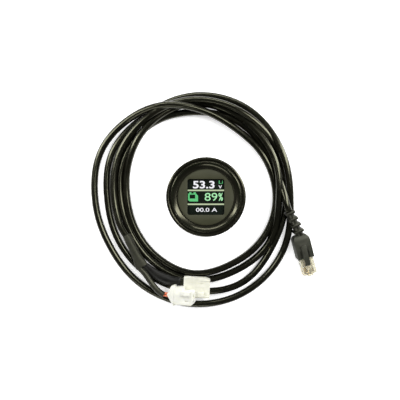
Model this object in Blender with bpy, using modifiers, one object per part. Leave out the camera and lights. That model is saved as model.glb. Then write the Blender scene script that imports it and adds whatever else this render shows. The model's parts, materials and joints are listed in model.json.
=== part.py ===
"""Round battery gauge for a 52 mm panel hole, with its loose data lead coiled round it.

The gauge lies on its rear cover, facing up. The origin is the middle of the rear cover's
outer face, and +Z runs along the gauge's axis to its window.
"""

import math

import bmesh
import bpy
from mathutils import Matrix, Vector

MM = 0.001
GAP = 0.3 * MM                      # between neighbouring pieces
WELD = 0.00001
ROUND_STEPS = 48

# Gauge: radii and heights above the rear face
# the bezel's section, corners of (radius, height) in mm
BEZEL_SECTION = [(28.2, 44.0), (29.3, 43.6), (30.0, 42.4), (30.0, 37.2), (28.9, 37.2), (28.9, 39.9),
                 (23.6, 39.9), (23.6, 41.3), (21.3, 41.3), (21.3, 41.7), (24.4, 43.3), (24.9, 43.1),
                 (26.6, 43.1), (27.1, 43.8)]
FLANGE_RADIUS = 28.6 * MM
FLANGE_TOP = 39.6 * MM
FLANGE_BOTTOM = 37.0 * MM
BARREL_RADIUS = 25.7 * MM           # over the thread, for a 52 mm hole
BORE_RADIUS = 23.4 * MM
LIP_RADIUS = 21.6 * MM
BARREL_BOTTOM = 3.4 * MM
BOSS_RADIUS = 2.6 * MM
BOSS_RING = 21.1 * MM
BOSS_BOTTOM = 5.4 * MM
BOSS_TOP = 20.4 * MM
SCREW_RING = 20.6 * MM
SCREW_HOLE = 1.3 * MM
SCREW_SHANK = 1.0 * MM
SCREW_ANGLES = [45, 135, 225, 315]
COVER_RADIUS = 25.0 * MM
COVER_THICKNESS = 2.0 * MM
WINDOW = (28.0 * MM, 27.2 * MM)
DISPLAY = (31.0 * MM, 33.0 * MM)
BOARD_BOTTOM = BOSS_TOP + GAP
BOARD_THICKNESS = 1.6 * MM
BOARD_TOP = BOARD_BOTTOM + BOARD_THICKNESS

# Seals: inner and outer radius
GASKET_RADII = (26.0 * MM, 29.4 * MM)
SEAL_RADII = (23.7 * MM, 25.2 * MM)

# Clamp: the washer and ring nut on the barrel
CLAMP_BORE = 26.1 * MM
WASHER_TOP = 26.0 * MM
WASHER_THICKNESS = 1.5 * MM
NUT_RADIUS = 29.6 * MM
NUT_HEIGHT = 8.7 * MM
NUT_GRIPS = 12

# Connectors: housing length, width and thickness, and their places on the rear cover
WIDE_HOUSING = (22.0 * MM, 16.7 * MM, 6.5 * MM)
NARROW_HOUSING = (22.8 * MM, 14.1 * MM, 6.5 * MM)
# each latch's middle along and across its housing, then its length and width
WIDE_LATCH = ((13.2 * MM, -5.0 * MM), (8.4 * MM, 4.4 * MM))
NARROW_LATCH = ((17.4 * MM, 2.8 * MM), (8.2 * MM, 3.6 * MM))
SOCKET_OFFSET = 7.0 * MM
SOCKET_CLEARANCE = 0.3 * MM
SOCKET_WALL = 1.5 * MM
SOCKET_TOP = 15.0 * MM
SOCKET_BOTTOM = COVER_THICKNESS + GAP
PIN_SIZE = 1.1 * MM

# Lead: a 5.8 mm round cable in a little under five loose turns
COIL_CENTRE = Vector((-10.1, -1.9, 0.0)) * MM
COIL_EDGE = 1.5 * MM
# the turns' nearest and furthest reach, and the pile's heights, at every 30 degrees from +X
COIL_INSIDE = [67.6, 67.5, 67.8, 72.4, 71.2, 60.8, 53.2, 52.4, 55.6, 60.5, 61.3, 65.2]
COIL_OUTSIDE = [84.6, 89.0, 94.6, 93.2, 89.6, 93.4, 88.1, 85.7, 89.4, 93.2, 94.5, 87.8]
PILE_HEIGHT = [8.4, 12.6, 13.0, 13.6, 12.6, 8.6, 6.0, 5.9, 5.9, 5.9, 5.9, 5.9]
SKIRT_HEIGHT = [5.6, 11.0, 12.6, 12.2, 11.4, 7.6, 5.9, 5.9, 5.9, 5.9, 5.9, 5.5]
PILE_SHARE = 0.5                    # how far across the band the pile reaches
CABLE_RADIUS = 2.9 * MM

PLUG_REAR = Vector((79.7, -30.9, 7.6)) * MM
PLUG_NOSE = Vector((89.6, -65.3, 3.8)) * MM
RELIEF_END = Vector((70.0, -12.0, 12.2)) * MM
RELIEF_RIBS = 4
BOOT = (21.5 * MM, 14.2 * MM, 9.6 * MM)
PLUG_LENGTH = 36.0 * MM             # from the boot's rear to the plug's nose
PLUG_FACE = (11.7 * MM, 6.5 * MM)   # the 8P8C plug's width and depth
PLUG_DROP = -0.4 * MM               # the plug's middle below the boot's
LATCH_RISE = math.radians(5)
TAIL_ROUTE = [(69.7, -11.3, 12.4), (68.5, -8.4, 12.9), (67.6, -5.2, 12.6), (67.0, -2.2, 12.0),
              (66.6, 0.3, 11.7)]

SPLIT_START = Vector((-65.2, -34.6, 9.4)) * MM
SPLIT_END = Vector((-53.6, -58.2, 9.6)) * MM
# the split's half width and half height along its length
SPLIT_SHAPE = [(0, 3.2, 3.2), (0.12, 3.6, 3.3), (0.55, 3.6, 3.2), (0.8, 4.6, 2.9), (1, 5.4, 2.7)]
BRANCH_SPREAD = 2.9 * MM
NARROW_RADIUS = 2.4 * MM
NARROW_BRANCH = [(-49.2, -65.2, 9.4), (-44.4, -73.0, 9.6), (-39.4, -78.2, 10.2), (-36.8, -80.4, 10.7),
                 (-35.0, -81.4, 11.1)]
WIDE_BRANCH = [(-46.4, -60.4, 9.3), (-41.2, -65.0, 9.3), (-36.2, -68.1, 9.2), (-29.8, -70.0, 9.0),
               (-23.1, -70.7, 9.0), (-19.2, -70.8, 9.1)]
# half widths of the flat sleeve on the wide branch, at its two points in the split and then along the route
WIDE_SHAPE = [2.2, 2.2, 2.3, 3.4, 4.2, 3.7, 3.0, 2.9]
WIDE_HEIGHT = 2.3
NARROW_PLACE = Vector((-29.4, -81.4, 8.7)) * MM
NARROW_TURN = math.radians(2)
NARROW_RISE = math.radians(22)
WIDE_PLACE = Vector((-18.3, -75.3, 6.3)) * MM
WIDE_TURN = math.radians(-2.5)
WIRE_RADIUS = 0.8 * MM

for old in list(bpy.data.objects):
    bpy.data.objects.remove(old)

parts = bpy.data.collections.new("battery_gauge")
cutters = bpy.data.collections.new("cutters")
for collection in (parts, cutters):
    bpy.context.scene.collection.children.link(collection)


# ---------------------------------------------------------------- tools

def finish_material(name, colour, roughness, metallic=0.0, alpha=1.0):
    """A Principled material, one for each piece."""
    material = bpy.data.materials.new(name)
    material.use_nodes = True
    shader = material.node_tree.nodes["Principled BSDF"]
    shader.inputs["Base Color"].default_value = (*colour, 1.0)
    shader.inputs["Roughness"].default_value = roughness
    shader.inputs["Metallic"].default_value = metallic
    shader.inputs["Alpha"].default_value = alpha
    return material


BLACK_GLOSS = dict(colour=(0.012, 0.012, 0.010), roughness=0.25)
BLACK_MATTE = dict(colour=(0.030, 0.030, 0.027), roughness=0.6)
FACE_OLIVE = dict(colour=(0.060, 0.058, 0.040), roughness=0.55)
RUBBER = dict(colour=(0.015, 0.015, 0.015), roughness=0.8)
CLEAR = dict(colour=(0.85, 0.84, 0.76), roughness=0.1, alpha=0.35)
WHITE_NYLON = dict(colour=(0.86, 0.86, 0.80), roughness=0.4)
NATURAL_NYLON = dict(colour=(0.70, 0.69, 0.60), roughness=0.45)
STEEL = dict(colour=(0.55, 0.55, 0.55), roughness=0.3, metallic=1.0)
GOLD = dict(colour=(0.80, 0.58, 0.22), roughness=0.3, metallic=1.0)
BOARD_GREEN = dict(colour=(0.01, 0.10, 0.04), roughness=0.45)
DARK_GLASS = dict(colour=(0.006, 0.010, 0.006), roughness=0.1)
ORANGE = dict(colour=(0.75, 0.22, 0.08), roughness=0.5)


def put(name, mesh, finish):
    """The mesh as a named piece with its own material."""
    piece = bpy.data.objects.new(name, mesh)
    parts.objects.link(piece)
    mesh.materials.append(finish_material(name, **finish))
    return piece


def as_cutter(piece):
    parts.objects.unlink(piece)
    cutters.objects.link(piece)
    piece.hide_render = True
    piece.display_type = "WIRE"
    return piece


def mesh_from(build):
    """A mesh from a function that fills a bmesh."""
    mesh = bpy.data.meshes.new("shape")
    shape = bmesh.new()
    build(shape)
    bmesh.ops.recalc_face_normals(shape, faces=shape.faces)
    shape.to_mesh(mesh)
    shape.free()
    return mesh


def turned(name, profile, finish, steps=ROUND_STEPS, place=None):
    """A profile of (radius, height) points turned about Z: closed, or open with both ends on the axis."""
    on_axis = profile[0][0] == 0 and profile[-1][0] == 0
    mesh = bpy.data.meshes.new("profile")
    points = [(radius, 0, height) for radius, height in profile]
    edges = [(i, i + 1) for i in range(len(points) - 1)]
    if not on_axis:
        edges.append((len(points) - 1, 0))
    mesh.from_pydata(points, edges, [])
    piece = put(name, mesh, finish)
    screw = piece.modifiers.new("turn", "SCREW")
    screw.steps = steps
    screw.render_steps = steps
    screw.use_merge_vertices = True
    screw.merge_threshold = WELD
    screw.use_smooth_shade = True
    if place:
        piece.matrix_world = place
    return piece


def box(name, size, centre, finish, place=None, bevel=0.0, segments=1):
    """A block of this size round its centre, in the frame of place."""
    def build(shape):
        bmesh.ops.create_cube(shape, size=1.0)
        bmesh.ops.scale(shape, vec=size, verts=shape.verts)
        bmesh.ops.translate(shape, vec=centre, verts=shape.verts)
    piece = put(name, mesh_from(build), finish)
    if place:
        piece.matrix_world = place
    if bevel:
        edge = piece.modifiers.new("edges", "BEVEL")
        edge.width = bevel
        edge.segments = segments
        edge.limit_method = "ANGLE"
    return piece


def cylinder(name, radius, bottom, top, finish, centre=(0, 0), steps=24, place=None):
    profile = [(0, top), (radius, top), (radius, bottom), (0, bottom)]
    spot = Matrix.Translation((centre[0], centre[1], 0))
    return turned(name, profile, finish, steps, (place @ spot) if place else spot)


def combine(piece, other, operation):
    """Cuts or joins the other piece, which becomes a hidden cutter."""
    step = piece.modifiers.new(operation.lower(), "BOOLEAN")
    step.operation = operation
    step.object = as_cutter(other)
    return piece


def cut(piece, *others):
    for other in others:
        combine(piece, other, "DIFFERENCE")
    return piece


def join(piece, *others):
    for other in others:
        combine(piece, other, "UNION")
    return piece


def tube(name, route, radius, finish, sides=2):
    """A round tube along a list of points, with filled ends."""
    curve = bpy.data.curves.new(name, "CURVE")
    curve.dimensions = "3D"
    curve.bevel_depth = radius
    curve.bevel_resolution = sides
    curve.use_fill_caps = True
    line = curve.splines.new("POLY")
    line.points.add(len(route) - 1)
    for point, spot in zip(line.points, route):
        point.co = (*spot, 1.0)
    piece = bpy.data.objects.new(name, curve)
    parts.objects.link(piece)
    curve.materials.append(finish_material(name, **finish))
    return piece


def loft(name, sections, finish, closed=False):
    """A skin over a row of sections with equal numbers of points, capped unless it closes on itself."""
    def build(shape):
        rings = [[shape.verts.new(point) for point in section] for section in sections]
        pairs = list(zip(rings, rings[1:]))
        if closed:
            pairs.append((rings[-1], rings[0]))
        else:
            shape.faces.new(rings[0])
            shape.faces.new(rings[-1])
        for one, other in pairs:
            for i in range(len(one)):
                j = (i + 1) % len(one)
                shape.faces.new((one[i], one[j], other[j], other[i]))
    return put(name, mesh_from(build), finish)


def along(start, end, up=Vector((0, 0, 1))):
    """A frame at start whose X runs to end and whose Z leans to up."""
    x = (end - start).normalized()
    y = up.cross(x).normalized()
    z = x.cross(y)
    frame = Matrix((x, y, z)).transposed().to_4x4()
    return Matrix.Translation(start) @ frame


def smooth_route(points, count):
    """Evenly read points of the smooth curve through a route's own points (millimetres)."""
    spots = [Vector(point) * MM for point in points]
    route = []
    for i in range(count):
        place = i * (len(spots) - 1) / (count - 1)
        k = min(int(place), len(spots) - 2)
        f = place - k
        before = spots[max(k - 1, 0)]
        after = spots[min(k + 2, len(spots) - 1)]
        one, two = spots[k], spots[k + 1]
        route.append(0.5 * (2 * one + (two - before) * f + (2 * before - 5 * one + 4 * two - after) * f ** 2
                            + (3 * one - before - 3 * two + after) * f ** 3))
    return route


def ring_spot(radius, degrees):
    angle = math.radians(degrees)
    return radius * math.cos(angle), radius * math.sin(angle)


# ---------------------------------------------------------------- front of the gauge

def bezel_ring():
    """Snap-on front ring: a raised rim, a groove, then a slope down to the face plate."""
    turned("bezel_ring", [(r * MM, z * MM) for r, z in BEZEL_SECTION], BLACK_GLOSS, steps=64)


def face_plate():
    """Matt disc with the square window cut out of it."""
    bottom, top = FLANGE_TOP + GAP, FLANGE_TOP + GAP + 1.0 * MM
    plate = cylinder("face_plate", 23.2 * MM, bottom, top, FACE_OLIVE, steps=48)
    hole = box("window_cutter", (*WINDOW, 6 * MM), (0, 0, top), FACE_OLIVE)
    cut(plate, hole)


def window_and_display():
    pane_bottom, pane_top = 38.7 * MM, FLANGE_TOP
    pane = (30.0 * MM, 29.4 * MM, pane_top - pane_bottom)
    box("window_pane", pane, (0, 0, (pane_top + pane_bottom) / 2), CLEAR)
    box("display_glass", (*DISPLAY, 1.4 * MM), (0, 0, 37.6 * MM), DARK_GLASS)
    box("display_backlight", (*DISPLAY, 1.9 * MM), (0, 0, 35.65 * MM), WHITE_NYLON, bevel=0.3 * MM)


def display_carrier():
    """Disc behind the display, standing on the board on three legs."""
    carrier = cylinder("display_carrier", 23.0 * MM, 31.0 * MM, 34.4 * MM, BLACK_MATTE, steps=48)
    hole = box("carrier_cutter", (16 * MM, 14 * MM, 12 * MM), (0, 3 * MM, 32 * MM), BLACK_MATTE)
    cut(carrier, hole)
    for i in range(3):
        spot = ring_spot(19.5 * MM, 120 * i)
        leg = cylinder(f"carrier_leg_{i + 1}", 1.6 * MM, BOARD_TOP + GAP, 32 * MM, BLACK_MATTE, spot, 16)
        join(carrier, leg)


def display_flex():
    """Ribbon cable from the back of the display down to the board."""
    path = [(8.0, 34.3), (2.0, 34.2), (-1.5, 33.2), (-2.6, 31.0), (-1.2, 28.0), (1.2, 26.2), (1.6, 24.8),
            (0.2, 23.8), (-1.6, 23.7)]
    width = 10 * MM
    mesh = bpy.data.meshes.new("flex")
    points = [(side * width / 2, y * MM, z * MM) for y, z in path for side in (-1, 1)]
    faces = [(2 * i, 2 * i + 1, 2 * i + 3, 2 * i + 2) for i in range(len(path) - 1)]
    mesh.from_pydata(points, [], faces)
    flex = put("display_flex", mesh, ORANGE)
    wall = flex.modifiers.new("thickness", "SOLIDIFY")
    wall.thickness = 0.2 * MM
    wall.offset = 0


# ---------------------------------------------------------------- board

def main_board():
    board = cylinder("main_board", 22.9 * MM, BOARD_BOTTOM, BOARD_TOP, BOARD_GREEN, steps=48)
    for i, degrees in enumerate(SCREW_ANGLES):
        spot = ring_spot(SCREW_RING, degrees)
        cut(board, cylinder(f"board_hole_{i + 1}", SCREW_HOLE, 18 * MM, 26 * MM, BOARD_GREEN, spot, 16))


def board_parts():
    """The larger parts soldered on the board's front side."""
    floor = BOARD_TOP + GAP
    box("flex_socket", (12 * MM, 3.6 * MM, 2 * MM), (0, -3.8 * MM, floor + 1 * MM), WHITE_NYLON)
    box("processor_chip", (9 * MM, 9 * MM, 1.2 * MM), (10.5 * MM, 8 * MM, floor + 0.6 * MM), BLACK_MATTE)
    box("power_coil", (7 * MM, 7 * MM, 4 * MM), (11 * MM, -8.5 * MM, floor + 2 * MM), STEEL, bevel=0.6 * MM)
    cylinder("supply_capacitor", 3.2 * MM, floor, floor + 6.5 * MM, STEEL, (-11 * MM, -8 * MM))
    cylinder("alarm_buzzer", 4.5 * MM, floor, floor + 4.5 * MM, BLACK_MATTE, (-11 * MM, 6 * MM))


# ---------------------------------------------------------------- housing, rear cover and screws

def barrel_housing():
    """Flange and barrel in one moulding, with four screw bosses inside."""
    profile = [(FLANGE_RADIUS, FLANGE_TOP), (FLANGE_RADIUS, FLANGE_BOTTOM), (BARREL_RADIUS, FLANGE_BOTTOM),
               (BARREL_RADIUS, BARREL_BOTTOM), (BORE_RADIUS, BARREL_BOTTOM), (BORE_RADIUS, 38.6 * MM),
               (LIP_RADIUS, 38.6 * MM), (LIP_RADIUS, FLANGE_TOP)]
    housing = turned("barrel_housing", profile, BLACK_MATTE, steps=64)
    for i, degrees in enumerate(SCREW_ANGLES):
        boss_spot = ring_spot(BOSS_RING, degrees)
        boss = cylinder(f"boss_{i + 1}", BOSS_RADIUS, BOSS_BOTTOM, BOSS_TOP, BLACK_MATTE, boss_spot, 16)
        join(housing, boss)
    for i, degrees in enumerate(SCREW_ANGLES):
        spot = ring_spot(SCREW_RING, degrees)
        cut(housing, cylinder(f"rear_hole_{i + 1}", SCREW_HOLE, 1 * MM, 11.6 * MM, BLACK_MATTE, spot, 12))
        cut(housing, cylinder(f"board_hole_{i + 1}", SCREW_HOLE, 14 * MM, 24 * MM, BLACK_MATTE, spot, 12))


def panel_gasket():
    bottom, top = 35.2 * MM, FLANGE_BOTTOM - GAP
    inner, outer = GASKET_RADII
    turned("panel_gasket", [(outer, top), (outer, bottom), (inner, bottom), (inner, top)], RUBBER)


def socket_spot(side):
    return side * SOCKET_OFFSET


def rear_cover():
    """Disc with a spigot that enters the barrel, two socket openings and four screw recesses."""
    profile = [(0, COVER_THICKNESS), (LIP_RADIUS, COVER_THICKNESS), (LIP_RADIUS, 5.0 * MM),
               (23.1 * MM, 5.0 * MM), (23.1 * MM, COVER_THICKNESS), (COVER_RADIUS, COVER_THICKNESS),
               (COVER_RADIUS, 0.6 * MM), (24.4 * MM, 0), (0, 0)]
    cover = turned("rear_cover", profile, BLACK_MATTE, steps=64)
    for i, degrees in enumerate(SCREW_ANGLES):
        spot = ring_spot(SCREW_RING, degrees)
        cut(cover, cylinder(f"cover_recess_{i + 1}", 2.3 * MM, -1 * MM, 1.2 * MM, BLACK_MATTE, spot, 16))
        cut(cover, cylinder(f"cover_hole_{i + 1}", SCREW_HOLE, -1 * MM, 7 * MM, BLACK_MATTE, spot, 12))
    for side, housing in ((1, WIDE_HOUSING), (-1, NARROW_HOUSING)):
        opening = (housing[1] + 2 * SOCKET_CLEARANCE, housing[2] + 2 * SOCKET_CLEARANCE, 8 * MM)
        cut(cover, box(f"socket_opening_{side + 2}", opening, (0, socket_spot(side), 0), BLACK_MATTE))


def rear_seal():
    bottom, top = COVER_THICKNESS + GAP, BARREL_BOTTOM - GAP
    inner, outer = SEAL_RADII
    turned("rear_seal", [(outer, top), (outer, bottom), (inner, bottom), (inner, top)], RUBBER)


def socket(name, housing, side, pins, pitch):
    """Shroud behind the rear cover, closed at its top but for the pins, and its row of pins."""
    middle = socket_spot(side)
    inside = (housing[1] + 2 * SOCKET_CLEARANCE, housing[2] + 2 * SOCKET_CLEARANCE)
    outside = (inside[0] + 2 * SOCKET_WALL, inside[1] + 2 * SOCKET_WALL)
    height = SOCKET_TOP - SOCKET_BOTTOM
    shroud = box(f"{name}_shroud", (*outside, height), (0, middle, SOCKET_BOTTOM + height / 2), BLACK_MATTE)
    roof = 1.6 * MM
    hollow_middle = (0, middle, SOCKET_TOP - roof - height / 2)
    cut(shroud, box(f"{name}_hollow", (*inside, height), hollow_middle, BLACK_MATTE))
    bar_bottom, bar_top = SOCKET_TOP + GAP, SOCKET_TOP + GAP + 1.5 * MM
    length = pins * pitch
    row = box(f"{name}_pins", (length, 2.6 * MM, bar_top - bar_bottom),
              (0, middle, (bar_bottom + bar_top) / 2), GOLD)
    for i in range(pins):
        x = (i - (pins - 1) / 2) * pitch
        hole = PIN_SIZE + 2 * GAP
        hole_size = (hole, hole, 6 * MM)
        cut(shroud, box(f"{name}_pin_hole_{i + 1}", hole_size, (x, middle, SOCKET_TOP), BLACK_MATTE))
        bottom, top = 7.0 * MM, BOARD_BOTTOM - GAP
        pin_size = (PIN_SIZE, PIN_SIZE, top - bottom)
        join(row, box(f"{name}_pin_{i + 1}", pin_size, (x, middle, (top + bottom) / 2), GOLD))


def screw(name, spot, head_end, tip_end, head_radius):
    """Cross-head screw, its head at head_end, pointing to tip_end along Z."""
    down = 1 if tip_end > head_end else -1
    head = 0.9 * MM
    length = abs(tip_end - head_end)
    profile = [(0, 0), (head_radius * 0.8, 0), (head_radius, 0.3 * MM), (head_radius, head),
               (SCREW_SHANK, head), (SCREW_SHANK, length - 1 * MM), (0.3 * MM, length), (0, length)]
    turn = Matrix.Identity(4) if down > 0 else Matrix.Rotation(math.pi, 4, "X")
    place = Matrix.Translation((*spot, head_end)) @ turn
    piece = turned(name, profile[::-1], STEEL, 16, place)
    for i, size in enumerate([(2.0, 0.45), (0.45, 2.0)]):
        slot = box(f"{name}_slot_{i + 1}", (size[0] * MM, size[1] * MM, 1.0 * MM), (0, 0, 0), STEEL, place)
        cut(piece, slot)


def screws():
    for i, degrees in enumerate(SCREW_ANGLES):
        spot = ring_spot(SCREW_RING, degrees)
        screw(f"cover_screw_{i + 1}", spot, 0.2 * MM, 11.0 * MM, 1.9 * MM)
        screw(f"board_screw_{i + 1}", spot, BOARD_TOP + GAP + 0.9 * MM, 14.6 * MM, 1.9 * MM)


# ---------------------------------------------------------------- clamp on the barrel

def clamp_washer():
    bottom, top = WASHER_TOP - WASHER_THICKNESS, WASHER_TOP
    section = [(NUT_RADIUS, top), (NUT_RADIUS, bottom), (CLAMP_BORE, bottom), (CLAMP_BORE, top)]
    turned("clamp_washer", section, STEEL)


def ring_nut():
    """Ring nut with finger grips round its rim."""
    top = WASHER_TOP - WASHER_THICKNESS - GAP
    bottom = top - NUT_HEIGHT
    chamfer = 0.8 * MM
    profile = [(CLAMP_BORE, top), (NUT_RADIUS - chamfer, top), (NUT_RADIUS, top - chamfer),
               (NUT_RADIUS, bottom + chamfer), (NUT_RADIUS - chamfer, bottom), (CLAMP_BORE, bottom)]
    nut = turned("ring_nut", profile, BLACK_MATTE, steps=48)
    for i in range(NUT_GRIPS):
        spot = ring_spot(NUT_RADIUS + 1.2 * MM, (i + 0.5) * 360 / NUT_GRIPS)
        grip = cylinder(f"nut_grip_{i + 1}", 2.4 * MM, bottom - 1 * MM, top + 1 * MM, BLACK_MATTE, spot, 12)
        cut(nut, grip)


# ---------------------------------------------------------------- lead

def compass(values, degrees):
    """Smooth value between the ones listed at every 30 degrees round the coil."""
    place = degrees / 30
    k, f = int(place), place - int(place)
    before, one, two, after = (values[(k + i) % len(values)] for i in (-1, 0, 1, 2))
    return MM * 0.5 * (2 * one + (two - before) * f + (2 * before - 5 * one + 4 * two - after) * f ** 2
                       + (3 * one - before - 3 * two + after) * f ** 3)


def lead_coil():
    """The outer shape of the loose turns: a low skirt with a pile of crossings on its inner side."""
    sections = []
    for degrees in range(0, 360, 10):
        inside, outside = compass(COIL_INSIDE, degrees), compass(COIL_OUTSIDE, degrees)
        pile, skirt = compass(PILE_HEIGHT, degrees), compass(SKIRT_HEIGHT, degrees)
        step = inside + PILE_SHARE * (outside - inside)
        outline = [(inside + COIL_EDGE, 0), (outside - COIL_EDGE, 0), (outside, COIL_EDGE),
                   (outside, skirt - COIL_EDGE), (outside - COIL_EDGE, skirt), (step + 0.6 * MM, skirt),
                   (step, pile), (inside + COIL_EDGE, pile), (inside, pile - COIL_EDGE), (inside, COIL_EDGE)]
        angle = math.radians(degrees)
        out = Vector((math.cos(angle), math.sin(angle), 0))
        sections.append([COIL_CENTRE + r * out + Vector((0, 0, z)) for r, z in outline])
    loft("lead_coil", sections, BLACK_GLOSS, closed=True)


def lead_tail():
    tube("lead_tail", smooth_route(TAIL_ROUTE, 7), CABLE_RADIUS, BLACK_GLOSS, sides=3)


def ribbed_relief(place, length):
    """Tapered strain relief with ribs, turned about the X axis of its place."""
    root = -2.0 * MM
    profile = [(0, root), (4.3 * MM, root)]
    pitch = length / RELIEF_RIBS
    for i in range(RELIEF_RIBS):
        rib, neck = (4.4 - 0.15 * i) * MM, (3.5 - 0.1 * i) * MM
        start = i * pitch
        profile += [(rib, start + 0.62 * pitch), (neck, start + 0.66 * pitch), (neck, start + 0.96 * pitch)]
        if i < RELIEF_RIBS - 1:
            profile.append((rib - 0.1 * MM, start + pitch))
    profile += [(3.9 * MM, length), (0, length)]
    return turned("relief", profile[::-1], BLACK_MATTE, 24, place @ Matrix.Rotation(math.pi / 2, 4, "Y"))


def plug_boot(frame):
    """Moulded boot: a body with a pocket for the plug, a tongue over the latch, a ribbed relief behind."""
    middle = BOOT[0] / 2
    boot = box("plug_boot", BOOT, (middle, 0, 0), BLACK_MATTE, frame, bevel=1.6 * MM, segments=2)
    relief = ribbed_relief(along(PLUG_REAR, RELIEF_END), (RELIEF_END - PLUG_REAR).length)
    tongue_size = (16.6 * MM, 5.0 * MM, 2.7 * MM)
    tongue = box("boot_tongue", tongue_size, (18.3 * MM, 0, 5.25 * MM), BLACK_MATTE, frame, bevel=0.4 * MM)
    join(boot, relief, tongue)
    pocket = (12 * MM, PLUG_FACE[0] + 2 * GAP, PLUG_FACE[1] + 2 * GAP)
    under_tongue = (8 * MM, 5.6 * MM, 2.4 * MM)
    cut(boot,
        box("boot_pocket", pocket, (19.2 * MM, 0, PLUG_DROP), BLACK_MATTE, frame),
        box("tongue_space", under_tongue, (25.5 * MM, 0, 4.45 * MM), BLACK_MATTE, frame))
    for side in (-1, 1):
        slot = (8 * MM, 1.3 * MM, 4 * MM)
        slot_middle = (18.8 * MM, side * 3.15 * MM, 5.4 * MM)
        cut(boot, box(f"tongue_slot_{side + 2}", slot, slot_middle, BLACK_MATTE, frame))


def plug_body(frame):
    """Clear eight-way plug, with a pocket for its contacts on the side away from the latch."""
    hidden = 13.7 * MM
    size = (PLUG_LENGTH - hidden, *PLUG_FACE)
    middle = (PLUG_LENGTH + hidden) / 2
    body = box("plug_body", size, (middle, 0, PLUG_DROP), CLEAR, frame, bevel=0.3 * MM)
    cut(body, box("contact_pocket", (7.2 * MM, 9.0 * MM, 3.2 * MM), (32.6 * MM, 0, -2.6 * MM), CLEAR, frame))
    comb = box("plug_contacts", (5.4 * MM, 8.2 * MM, 0.9 * MM), (32.4 * MM, 0, -1.8 * MM), GOLD, frame)
    for i in range(8):
        y = (i - 3.5) * 1.02 * MM
        blade = (5.0 * MM, 0.4 * MM, 1.4 * MM)
        join(comb, box(f"contact_blade_{i + 1}", blade, (32.4 * MM, y, -2.6 * MM), GOLD, frame))


def plug_latch(frame):
    """Spring latch rising from the plug's nose towards the boot."""
    hinge = frame @ Matrix.Translation((34.6 * MM, 0, 3.6 * MM)) @ Matrix.Rotation(LATCH_RISE, 4, "Y")
    latch = box("plug_latch", (12.2 * MM, 3.4 * MM, 0.9 * MM), (-6.1 * MM, 0, 0.2 * MM), CLEAR, hinge)
    shoulder = box("latch_shoulder", (3.2 * MM, 5.6 * MM, 0.9 * MM), (-5.4 * MM, 0, 0.2 * MM), CLEAR, hinge)
    join(latch, shoulder)


def oval(frame, wide, high, sides=16):
    """An oval of these half sizes in millimetres, round the X axis of its frame."""
    angles = [2 * math.pi * i / sides for i in range(sides)]
    return [frame @ Vector((0, wide * MM * math.cos(angle), high * MM * math.sin(angle))) for angle in angles]


def lead_split():
    """Heat-shrink sleeve where the cable divides, round at its start and oval at its end."""
    frame = along(SPLIT_START, SPLIT_END)
    length = (SPLIT_END - SPLIT_START).length
    sections = []
    for share, wide, high in SPLIT_SHAPE:
        sections.append(oval(frame @ Matrix.Translation((share * length, 0, 0)), wide, high))
    loft("lead_split", sections, BLACK_MATTE)


def split_exit(side):
    """The first two points of a branch, straight out of the split's end, in millimetres."""
    frame = along(SPLIT_START, SPLIT_END)
    length = (SPLIT_END - SPLIT_START).length
    spots = [Vector((length + extra, side * BRANCH_SPREAD, 0)) for extra in (2 * GAP, 3 * MM)]
    return [tuple((frame @ spot) / MM) for spot in spots]


def narrow_branch():
    tube("narrow_branch", smooth_route(split_exit(-1) + NARROW_BRANCH, 13), NARROW_RADIUS, BLACK_MATTE)


def wide_branch():
    """A flat sleeve over four wires, widest half way along."""
    count = 13
    route = smooth_route(split_exit(1) + WIDE_BRANCH, count)
    sections = []
    for i, spot in enumerate(route):
        before, after = route[max(i - 1, 0)], route[min(i + 1, count - 1)]
        heading = along(before, after).to_3x3().to_4x4()
        place = i * (len(WIDE_SHAPE) - 1) / (count - 1)
        k = min(int(place), len(WIDE_SHAPE) - 2)
        wide = WIDE_SHAPE[k] + (place - k) * (WIDE_SHAPE[k + 1] - WIDE_SHAPE[k])
        sections.append(oval(Matrix.Translation(spot) @ heading, wide, WIDE_HEIGHT))
    loft("wide_branch", sections, BLACK_MATTE)


def connector(name, size, place, finish, pins, pitch, latch_place, latch_size):
    """Nylon housing with square pin entries in its front and a rocking latch on top."""
    length, width, height = size
    housing = box(f"{name}_housing", size, (length / 2, 0, height / 2), finish, place, bevel=0.5 * MM)
    for i in range(pins):
        y = (i - (pins - 1) / 2) * pitch
        entry = (16 * MM, 2.2 * MM, 2.4 * MM)
        cut(housing, box(f"{name}_entry_{i + 1}", entry, (length, y, height / 2), finish, place))
    x, y = latch_place
    post = box(f"{name}_post", (1.2 * MM, latch_size[1], 2.0 * MM), (x, y, height - 0.3 * MM), finish, place)
    join(housing, post)
    bottom = height + 1.0 * MM
    latch_frame = place @ Matrix.Translation((x, y, bottom))
    arm = 1.0 * MM
    latch = box(f"{name}_latch", (*latch_size, arm), (0, 0, arm / 2), finish, latch_frame, bevel=0.25 * MM)
    hook = (1.4 * MM, latch_size[1] * 0.8, 1.0 * MM)
    join(latch, box(f"{name}_hook", hook, (latch_size[0] / 2 - 0.9 * MM, 0, -0.2 * MM), finish, latch_frame))


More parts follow.
